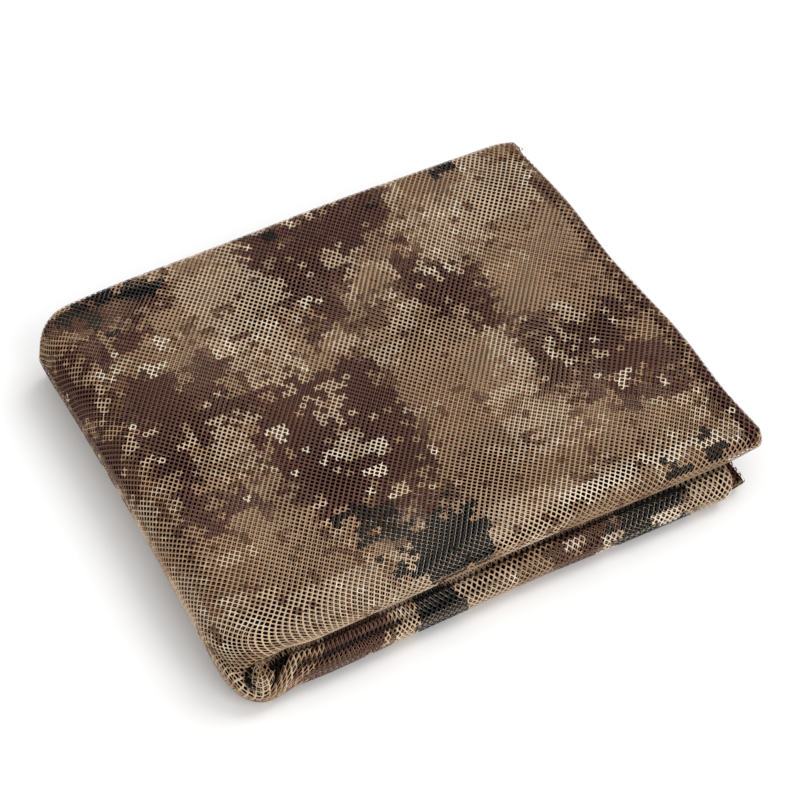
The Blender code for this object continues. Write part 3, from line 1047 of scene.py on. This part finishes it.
@dataclass(frozen=True)
class InnerPly:
    """One inner ply: a thin closed sheet along the whole section and both runs.

    Under the outer plies it is their lining, which follows their creases; further
    in it waves a little.
    """

    lift: float                     # height over the cloth's middle in the inner layers
    seed: int
    thick: float = 0.0003
    tongue: float = 0.97            # share of the tongue's reach
    end_steps: tuple[float, ...] = (0.0012, 0.0024, 0.0036, 0.0050, 0.0068, 0.0090)
    section_points: int = 150
    upper_points: int = 36
    turn_points: int = 18
    lower_points: int = 34
    wave: float = 0.00018           # height of the waves, then metres for a radian of them
    wave_across: float = 0.011
    wave_along: float = 0.017
    sway: float = 2.0               # radians that the waves sway, then metres for a radian
    sway_along: float = 0.05
    lining_to: float = 0.139        # across, where the outermost layer ends
    lining_depth: float = 0.0017    # how far the lining lies under the cloth's middle
    fold_lift: float = 0.0013       # how much less in the back fold
    end_lift: float = 0.0017        # and how much less at the cut ends
    back_fold: tuple[float, float] = (0.118, 0.130)
    end_zone: tuple[float, float] = (0.004, 0.012)
    turned_from: float = -0.30      # layers with a lesser across don't turn in at the ends
    dark_across: tuple[float, float] = (0.01, 0.136)   # past the section's start, and up to
    dark_front: float = -0.080      # both faces of front folds lie in the dark
    dark_inset: float = 0.006       # from the cut ends
    dark: float = 0.03              # share of light in the packet, and elsewhere
    dim: float = 0.5

    def stations(self, lie: PacketLie) -> Array:
        """Places along, close together at the cut ends.

        Args:
            lie: The packet's sizes.

        Returns:
            Coordinates along, from the upper end to the lower one.
        """
        low_turn = 2.0 * lie.turn_middle - lie.x_turn
        near_end = np.array(self.end_steps)
        reach = 2.0 * near_end[-1]
        return np.concatenate([
            lie.upper_end - near_end,
            np.linspace(lie.upper_end - reach, lie.x_turn, self.upper_points),
            np.linspace(lie.x_turn, low_turn, self.turn_points)[1:-1],
            np.linspace(low_turn, lie.lower_end_along + reach, self.lower_points),
            lie.lower_end_along + near_end[::-1],
        ])

    def heights(
        self, cloth: Cloth, grid_a: Array, grid_c: Array, waves: Array, open_fold: Array
    ) -> Array:
        """Heights over the cloth's middle line.

        Args:
            cloth: The packet's sizes and creases.
            grid_a: Coordinates along.
            grid_c: Coordinates across.
            waves: Waves of the inner layers, from -1 to 1.
            open_fold: 1 on the top and round the front, 0 in the back fold.

        Returns:
            The heights.
        """
        lie = cloth.lie
        near, far = self.end_zone
        skin = cloth.crinkle(grid_a, grid_c) - self.lining_depth
        skin = skin + self.fold_lift * smoothstep(grid_c, *self.back_fold)
        ends = smoothstep(grid_a, lie.upper_end - far, lie.upper_end - near)
        low_end = lie.lower_end_along
        ends = ends + 1.0 - smoothstep(grid_a, low_end + near, low_end + far)
        skin = skin + self.end_lift * ends * open_fold
        outermost = (grid_c > cloth.across[0]) & (grid_c < self.lining_to)
        return np.where(outermost, skin, self.lift + self.wave * waves)

    def light(self, cloth: Cloth, middle: Array, outward: Array) -> Array:
        """Share of light on each face: little on the lining and in the front folds.

        Args:
            cloth: The packet's sizes.
            middle: The faces' cloth coordinates.
            outward: Whether each face looks out of its layer.

        Returns:
            The shares.
        """
        along, across = middle.T
        lining_from, lining_to = self.dark_across
        hidden = (across > cloth.across[0] + lining_from) & (across < lining_to) & outward
        hidden |= np.interp(across, cloth.across, cloth.line[:, 0]) < self.dark_front
        hidden &= along < cloth.lie.upper_end - self.dark_inset
        hidden &= along > cloth.lie.lower_end_along + self.dark_inset
        return np.where(hidden, self.dark, self.dim)

    def mesh(self, cloth: Cloth, camo: CamouflagePrint) -> NetMesh:
        """Two grids over across and along, half the thickness over and under, and closed.

        Args:
            cloth: Where the cloth lies.
            camo: The print.

        Returns:
            The sheet's mesh.
        """
        lie = cloth.lie
        picked = np.linspace(0, len(cloth.across) - 1, self.section_points).astype(int)
        grid_c, grid_a = np.meshgrid(cloth.across[picked], self.stations(lie), indexing="ij")
        phase = np.random.default_rng(self.seed).uniform(0.0, 6.0, 3)
        sway = self.sway * np.sin(grid_a / self.sway_along + phase[1])
        waves = np.sin(grid_c / self.wave_across + phase[0] + sway)
        waves = waves * np.sin(grid_a / self.wave_along + phase[2])
        last = self.end_steps[-1]
        low_end = lie.lower_end_along
        open_fold = 1.0 - smoothstep(grid_c, *self.back_fold)
        turned = (grid_c > self.turned_from) * open_fold * lie.edge_extra
        grid_a = grid_a + turned * smoothstep(grid_a, lie.upper_end - last, lie.upper_end)
        grid_a = grid_a - turned * (1.0 - smoothstep(grid_a, low_end, low_end + last))
        lift = self.heights(cloth, grid_a, grid_c, waves, open_fold)
        half = 0.5 * self.thick
        sheets = [
            cloth.place(grid_a, grid_c, lift + side, tongue=self.tongue) for side in (half, -half)
        ]
        rows, columns = grid_a.shape
        top, low = np.arange(2 * rows * columns).reshape(2, rows, columns)
        quads = [
            (top[:-1, :-1], top[:-1, 1:], top[1:, 1:], top[1:, :-1]),
            (low[:-1, :-1], low[1:, :-1], low[1:, 1:], low[:-1, 1:]),
            (top[:-1, 0], top[1:, 0], low[1:, 0], low[:-1, 0]),
            (top[:-1, -1], low[:-1, -1], low[1:, -1], top[1:, -1]),
            (top[0, :-1], low[0, :-1], low[0, 1:], top[0, 1:]),
            (top[-1, :-1], top[-1, 1:], low[-1, 1:], low[-1, :-1]),
        ]
        faces = np.concatenate([np.stack(quad, axis=-1).reshape(-1, 4) for quad in quads])[:, ::-1]
        flat = np.stack([grid_a.ravel(), grid_c.ravel()], axis=1)
        coordinates = np.concatenate([flat, flat])
        middle = coordinates[faces].mean(axis=1)
        tone = camo.tones(*middle.T)
        shade = self.light(cloth, middle, np.arange(len(faces)) < (rows - 1) * (columns - 1))
        points = np.concatenate([sheet.reshape(-1, 3) for sheet in sheets])
        return NetMesh(points, faces, coordinates, tone, shade)


@dataclass(frozen=True)
class BakeMap:
    """Layout of the map that finishes are baked to: the cloth's length in bands."""

    bands: int
    slack: float = 1.04         # the map's reach as a share of the cloth's
    rim: float = 0.02           # bare rim at each side
    before: float = 0.01        # room before a band's start, share of the reach
    room: float = 1.05          # a band's room as a share of its length

    def lay(self, corner: Array, cloth: Array) -> Array:
        """Places of the faces' corners on the map.

        Args:
            corner: Cloth coordinates of the faces' corners.
            cloth: Cloth coordinates of the points.

        Returns:
            Places from 0 to 1.
        """
        low, high = cloth.min(axis=0), cloth.max(axis=0)
        reach = (high - low) * self.slack
        stretch = reach[0] / self.bands
        middle = corner.mean(axis=1)[:, 0]
        band = np.clip(np.floor((middle - low[0]) / stretch), 0, self.bands - 1)[:, None]
        inside = 1.0 - 2.0 * self.rim
        from_start = corner[..., 0] - low[0] - band * stretch + self.before * reach[0]
        u = self.rim + inside * from_start / (stretch * self.room)
        v = (band + self.rim + inside * (corner[..., 1] - low[1]) / reach[1]) / self.bands
        return np.clip(np.stack([u, v], axis=-1), 0, 1)


def put_mesh(name: str, net: NetMesh, material: bpy.types.Material, bands: int) -> bpy.types.Object:
    """Make a mesh object from arrays, with cloth and bake maps and printed tones.

    Args:
        name: The object's name.
        net: Its arrays.
        material: Its finish.
        bands: Number of bands of the bake map.

    Returns:
        The object, at the origin.
    """
    mesh = bpy.data.meshes.new(name)
    count = len(net.faces)
    mesh.vertices.add(len(net.points))
    mesh.vertices.foreach_set("co", net.points.astype(np.float32).ravel())
    mesh.loops.add(4 * count)
    mesh.loops.foreach_set("vertex_index", net.faces.astype(np.int32).ravel())
    mesh.polygons.add(count)
    mesh.polygons.foreach_set("loop_start", np.arange(0, 4 * count, 4, dtype=np.int32))
    mesh.update(calc_edges=True)
    mesh.shade_smooth()
    corner = net.cloth[net.faces]
    for map_name, places in (("cloth", corner), ("OFBake", BakeMap(bands).lay(corner, net.cloth))):
        layer = mesh.uv_layers.new(name=map_name)
        layer.data.foreach_set("uv", places.astype(np.float32).ravel())
    shares = {"printed_tone": (net.tone + 0.5) / len(Tone), "seen_in_shade": net.shade}
    for key, values in shares.items():
        attribute = mesh.attributes.new(key, "FLOAT", "FACE")
        attribute.data.foreach_set("value", values.astype(np.float32))
    mesh.materials.append(material)
    mesh.validate()
    piece = bpy.data.objects.new(name, mesh)
    bpy.context.scene.collection.objects.link(piece)
    return piece


# ---------------------------------------------------------------------- finishes
def linear(code: str) -> tuple[float, float, float, float]:
    """Linear colour of an sRGB hex value, by the standard's own two-part curve.

    Args:
        code: The value, such as "#ffffff".

    Returns:
        Red, green, blue and full opacity.
    """
    parts = [int(code[i : i + 2], 16) / 255.0 for i in (1, 3, 5)]
    low = [part / 12.92 if part <= 0.04045 else ((part + 0.055) / 1.055) ** 2.4 for part in parts]
    return (low[0], low[1], low[2], 1.0)


def add_node(
    tree: bpy.types.NodeTree,
    kind: str,
    settings: dict[str, object],
    inputs: dict[str | int, object],
) -> bpy.types.Node:
    """Add a node with its settings, and its inputs as values or as sockets to link.

    Args:
        tree: The material's node tree.
        kind: The node's type.
        settings: Properties of the node.
        inputs: Socket names or numbers with a value or another node's output.

    Returns:
        The node.
    """
    node = tree.nodes.new(kind)
    for key, value in settings.items():
        setattr(node, key, value)
    for key, value in inputs.items():
        if isinstance(value, bpy.types.NodeSocket):
            tree.links.new(value, node.inputs[key])
        else:
            node.inputs[key].default_value = value
    return node


@dataclass(frozen=True)
class KnittedPolyester:
    """Knitted polyester mesh, warp-knitted and printed: soft, dull, a slight sheen."""

    name: str
    black: str = "#0d0d0e"
    brown: str = "#5e3a2e"
    umber: str = "#78563f"
    khaki: str = "#a88667"
    tan: str = "#c8ac8e"
    light: str = "#e3cfb6"
    # painted shade: share of each colour part kept, below 1 on the second ply for the first ply's
    # shadow over it
    painted_shade: tuple[float, float, float] = (1.0, 1.0, 1.0)   # share of each colour part
    roughness: float = 0.55
    sheen: float = 0.04
    sheen_roughness: float = 0.45
    ior: float = 1.55
    gloss: float = 0.30
    mottle_scale: float = 60.0
    mottle_noise: tuple[float, float] = (0.3, 0.7)
    mottle_tint: tuple[float, float] = (0.82, 1.14)
    yarn_pitch: float = 0.45 * MM
    yarn_depth: float = 0.0001
    yarn_strength: float = 0.35
    # painted shade: holes drawn dark on a closed sheet, for the shade seen through them
    drawn_holes: bool = False
    hole_level: tuple[float, float] = (0.10, 0.30)
    hole_painted_shade: tuple[float, float] = (1.0, 0.10)
    repeats: tuple[float, float] = (Knit.repeat_along, Knit.repeat_across)

    def build(self) -> bpy.types.Material:
        """Printed colour from the face tones, mottled and shaded, and the yarn as fine bump.

        Returns:
            The material.
        """
        material = bpy.data.materials.new(self.name)
        material.use_nodes = True
        tree = material.node_tree
        node = partial(add_node, tree)
        shader = tree.nodes["Principled BSDF"]
        shader.inputs["Roughness"].default_value = self.roughness
        shader.inputs["IOR"].default_value = self.ior
        shader.inputs["Specular IOR Level"].default_value = self.gloss
        shader.inputs["Sheen Weight"].default_value = self.sheen
        shader.inputs["Sheen Roughness"].default_value = self.sheen_roughness
        tone = node("ShaderNodeAttribute", {"attribute_name": "printed_tone"}, {})
        ramp = node("ShaderNodeValToRGB", {}, {"Fac": tone.outputs["Fac"]})
        self.fill(ramp.color_ramp)
        place = node("ShaderNodeTexCoord", {}, {})
        cloth = node("ShaderNodeUVMap", {"uv_map": "cloth"}, {})
        broad = node("ShaderNodeTexNoise", {}, {
            "Vector": place.outputs["Object"], "Scale": self.mottle_scale, "Detail": 3.0,
        })
        mottle = node("ShaderNodeMapRange", {}, {
            "Value": broad.outputs["Fac"],
            "From Min": self.mottle_noise[0], "From Max": self.mottle_noise[1],
            "To Min": self.mottle_tint[0], "To Max": self.mottle_tint[1],
        })
        tinted = node("ShaderNodeVectorMath", {"operation": "SCALE"}, {
            0: ramp.outputs["Color"], "Scale": mottle.outputs["Result"],
        })
        depth = node("ShaderNodeAttribute", {"attribute_name": "seen_in_shade"}, {})
        dimmed = node("ShaderNodeVectorMath", {"operation": "SCALE"}, {
            0: tinted.outputs["Vector"], "Scale": depth.outputs["Fac"],
        })
        colour = dimmed.outputs["Vector"]
        if self.drawn_holes:
            colour = self.holes(tree, cloth, colour)
        tree.links.new(colour, shader.inputs["Base Color"])
        yarn = node("ShaderNodeTexWave", {"bands_direction": "DIAGONAL"}, {
            "Vector": cloth.outputs["UV"], "Scale": WAVE_REPEAT / self.yarn_pitch,
            "Distortion": 2.0, "Detail": 1.0,
        })
        bump = node("ShaderNodeBump", {}, {
            "Height": yarn.outputs["Fac"],
            "Strength": self.yarn_strength, "Distance": self.yarn_depth,
        })
        tree.links.new(bump.outputs["Normal"], shader.inputs["Normal"])
        return material

    def fill(self, ramp: bpy.types.ColorRamp) -> None:
        """Give each tone its even share of a stepped ramp.

        Args:
            ramp: The ramp.
        """
        ramp.interpolation = "CONSTANT"
        codes = (self.black, self.brown, self.umber, self.khaki, self.tan, self.light)
        while len(ramp.elements) < len(codes):
            ramp.elements.new(0.5)
        for number, code in enumerate(codes):
            # painted shade: each tone's colour is scaled by its share
            parts = [part * share for part, share in zip(linear(code), self.painted_shade)]
            ramp.elements[number].position = number / len(codes)
            ramp.elements[number].color = (*parts, 1.0)

    def holes(
        self, tree: bpy.types.NodeTree, cloth: bpy.types.Node, colour: bpy.types.NodeSocket
    ) -> bpy.types.NodeSocket:
        """Paint the lattice's holes dark, as painted shade seen through them: cosine along times
        cosine across over a level.

        Args:
            tree: The material's node tree.
            cloth: The node of the cloth's map.
            colour: The mesh's colour.

        Returns:
            The colour with holes.
        """
        node = partial(add_node, tree)
        parts = node("ShaderNodeSeparateXYZ", {}, {0: cloth.outputs["UV"]})
        waves = []
        for output, repeat in zip(("X", "Y"), self.repeats):
            turn = node("ShaderNodeMath", {"operation": "MULTIPLY"}, {
                0: parts.outputs[output], 1: math.tau / repeat,
            })
            waves.append(node("ShaderNodeMath", {"operation": "COSINE"}, {0: turn.outputs[0]}))
        both = node("ShaderNodeMath", {"operation": "MULTIPLY"}, {
            0: waves[0].outputs[0], 1: waves[1].outputs[0],
        })
        hole = node("ShaderNodeMapRange", {}, {
            "Value": both.outputs[0],
            "From Min": self.hole_level[0], "From Max": self.hole_level[1],
            "To Min": self.hole_painted_shade[0], "To Max": self.hole_painted_shade[1],
        })
        dark = node("ShaderNodeVectorMath", {"operation": "SCALE"}, {
            0: colour, "Scale": hole.outputs["Result"],
        })
        return dark.outputs["Vector"]


@dataclass(frozen=True)
class MattBoard:
    """Matt white board of the floor."""

    name: str = "matt_white_board"
    colour: str = "#fbfbfb"
    roughness: float = 0.9

    def build(self) -> bpy.types.Material:
        """Plain pale surface.

        Returns:
            The material.
        """
        material = bpy.data.materials.new(self.name)
        material.use_nodes = True
        shader = material.node_tree.nodes["Principled BSDF"]
        shader.inputs["Base Color"].default_value = linear(self.colour)
        shader.inputs["Roughness"].default_value = self.roughness
        return material


# ------------------------------------------------------------------- sub-assemblies
@dataclass
class FoldedNet:
    """The whole net: two knitted outer plies of real strands over its inner plies."""

    cloth: Cloth
    knit: Knit
    camo: CamouflagePrint
    skin: float = 0.00055       # hole edge of the outer ply over the cloth's middle
    under_skin: float = -0.0010
    tongue_skin: float = -0.0008
    front_from: float = -0.1850
    front_to: float = -0.1195
    back_to: float = 0.1450
    edge_margin: float = 0.0020
    ends_run: float = 0.0140    # inner layers are knitted this far in from their cut ends
    under_past: float = 0.02    # the second ply of the top goes on past the U-turn's middle
    under_short: float = 0.002  # and stops short at the back
    tongue_before: float = 0.02     # the tongue's second ply lies round this fold
    tongue_after: float = 0.05
    under_seed: int = 43
    # painted shade of the second ply: darker and a little warmer, for the first ply's shadow over
    # it
    under_painted_shade: tuple[float, float, float] = (0.86, 0.81, 0.76)
    inner_lifts: tuple[float, ...] = (0.00055, -0.00055)
    inner_seed: int = 7

    def plies(self) -> list[Ply]:
        """The stretches of the two outer plies, of the inner layers' ends and of the tongue.

        Returns:
            The knitted plies.
        """
        lie = self.cloth.lie
        end, low_end, mid = lie.upper_end, lie.lower_end_along, lie.turn_middle
        skin, under = self.skin, self.under_skin
        cut = (low_end - lie.edge_extra, end + lie.edge_extra)
        from_end, to_end = cut[0] - self.edge_margin, cut[1] + self.edge_margin
        inner = (low_end, end)
        front, top = (self.front_from, self.front_to), (self.front_to, self.back_to)
        under_top = (self.front_to, self.back_to - self.under_short)
        folds = (self.back_to, float(self.cloth.across[-1]))
        fold_2 = self.cloth.layer_across(2)[1]
        tongue = (fold_2 - self.tongue_before, fold_2 + self.tongue_after)
        upper_ends, lower_ends = (end - self.ends_run, end), (low_end, low_end + self.ends_run)
        past = mid - self.under_past
        return [
            Ply("outer_net_top", (mid, to_end), top, cut, skin, 8, False, 1),
            Ply("outer_net_front", (from_end, to_end), front, cut, skin, 8, False, 4),
            Ply("outer_net_under", (from_end, mid), top, cut, skin, 4, False, 1),
            Ply("second_net_top", (past, to_end), under_top, cut, under, 4, True, 1),
            Ply("second_net_front", (from_end, to_end), front, cut, under, 4, True, 4),
            Ply("inner_upper_ends_net", upper_ends, folds, inner, 0.0, 4, False, 1),
            Ply("inner_lower_ends_net", lower_ends, folds, inner, 0.0, 8, False, 1),
            Ply("tongue_second_net", lower_ends, tongue, inner, self.tongue_skin, 4, True, 1),
        ]

    def build(self) -> list[bpy.types.Object]:
        """Make every piece, attach it to its body and hide the imported part.

        Returns:
            The pieces.
        """
        finish = KnittedPolyester("knitted_polyester_mesh").build()
        second = KnittedPolyester("knitted_polyester_mesh_second_ply", painted_shade=self.under_painted_shade).build()
        deep = KnittedPolyester(
            "knitted_polyester_mesh_in_shade", sheen=0.0, gloss=0.0, roughness=1.0, drawn_holes=True
        ).build()
        under_print = CamouflagePrint(patches=SECOND_PLY_PATCHES, seed=self.under_seed)
        pieces = []
        for ply in self.plies():
            net = self.knit.ply_mesh(ply, self.cloth, under_print if ply.under else self.camo)
            piece = put_mesh(ply.name, net, second if ply.under else finish, ply.bands)
            self.declare(piece)
            pieces.append(piece)
        for number, lift in enumerate(self.inner_lifts):
            net = InnerPly(lift, self.inner_seed + number).mesh(self.cloth, self.camo)
            piece = put_mesh(f"inner_ply_{number + 1}", net, deep, 1)
            run = self.cloth.lie.upper_end - self.cloth.lie.lower_end_along
            self.declare(piece)
            pieces.append(piece)
        return pieces

    def declare(self, piece: bpy.types.Object) -> None:
        """Attach the piece to the body it rides on and hide the imported part that it stands for.

        Args:
            piece: The piece.
        """
        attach(piece, BODY)
        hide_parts(NODE)


# -------------------------------------------------------------------------- stage
class Lamp(NamedTuple):
    """Far soft light: its direction, the width it is seen at in degrees, and its strength."""

    name: str
    direction: tuple[float, float, float]
    width: float
    strength: float


LAMPS = (
    Lamp("key_soft_box", (0.62, 0.10, 0.78), 38.0, 1.12),
    Lamp("front_soft_box", (0.27, -0.76, 0.59), 36.0, 0.98),
)


@dataclass(frozen=True)
class Studio:
    """Camera, plain pale floor and soft lights."""

    azimuth: float = math.radians(-25.0)
    elevation: float = math.radians(46.84)
    roll: float = math.radians(-3.0)
    distance: float = 1.2545
    target: tuple[float, float, float] = (0.0048, -0.0028, 0.022)
    lens: float = 103.5
    sensor: float = 36.0
    nearest: float = 0.01
    floor_size: float = 40.0
    sky: str = "#ffffff"
    sky_strength: float = 0.73

    def camera(self) -> None:
        """Aim the camera by azimuth, elevation and roll round the target."""
        a, e, r = self.azimuth, self.elevation, self.roll
        back = Vector((math.sin(a) * math.cos(e), -math.cos(a) * math.cos(e), math.sin(e)))
        right = Vector((math.cos(a), math.sin(a), 0.0))
        up = back.cross(right)
        side = math.cos(r) * right + math.sin(r) * up
        top = -math.sin(r) * right + math.cos(r) * up
        data = bpy.data.cameras.new("camera")
        data.lens = self.lens
        data.sensor_width = self.sensor
        data.clip_start = self.nearest
        camera = bpy.data.objects.new("camera", data)
        place = Vector(self.target) + back * self.distance
        rotation = Matrix((side, top, back)).transposed().to_4x4()
        camera.matrix_world = Matrix.Translation(place) @ rotation
        bpy.context.scene.collection.objects.link(camera)
        bpy.context.scene.camera = camera

    def floor(self) -> None:
        """One large pale square under the packet."""
        half = self.floor_size / 2.0
        mesh = bpy.data.meshes.new("floor")
        corners = [(-half, -half, 0.0), (half, -half, 0.0), (half, half, 0.0), (-half, half, 0.0)]
        mesh.from_pydata(corners, [], [(0, 1, 2, 3)])
        mesh.materials.append(MattBoard().build())
        floor = bpy.data.objects.new("floor", mesh)
        bpy.context.scene.collection.objects.link(floor)

    def lamp(self, row: Lamp) -> None:
        """Add a far soft light.

        Args:
            row: Its direction, width and strength.
        """
        data = bpy.data.lights.new(row.name, "SUN")
        data.angle = math.radians(row.width)
        data.energy = row.strength
        lamp = bpy.data.objects.new(row.name, data)
        lamp.rotation_euler = Vector(row.direction).to_track_quat("Z", "Y").to_euler()
        bpy.context.scene.collection.objects.link(lamp)

    def build(self) -> None:
        """Set up the stage."""
        self.camera()
        self.floor()
        for row in LAMPS:
            self.lamp(row)
        world = bpy.data.worlds.new("studio")
        world.use_nodes = True
        background = world.node_tree.nodes["Background"]
        background.inputs["Color"].default_value = linear(self.sky)
        background.inputs["Strength"].default_value = self.sky_strength
        bpy.context.scene.world = world
        bpy.context.scene.view_settings.view_transform = "Standard"


def main() -> None:
    """Build the stage and the net, and report each piece."""
    logging.basicConfig(level=logging.INFO, format="%(message)s")
    Studio().build()
    cloth = Cloth(PacketLie(), CREASES)
    for piece in FoldedNet(cloth, Knit(), CamouflagePrint()).build():
        log.info("%s: %d faces", piece.name, len(piece.data.polygons))


if __name__ == "__main__":
    main()
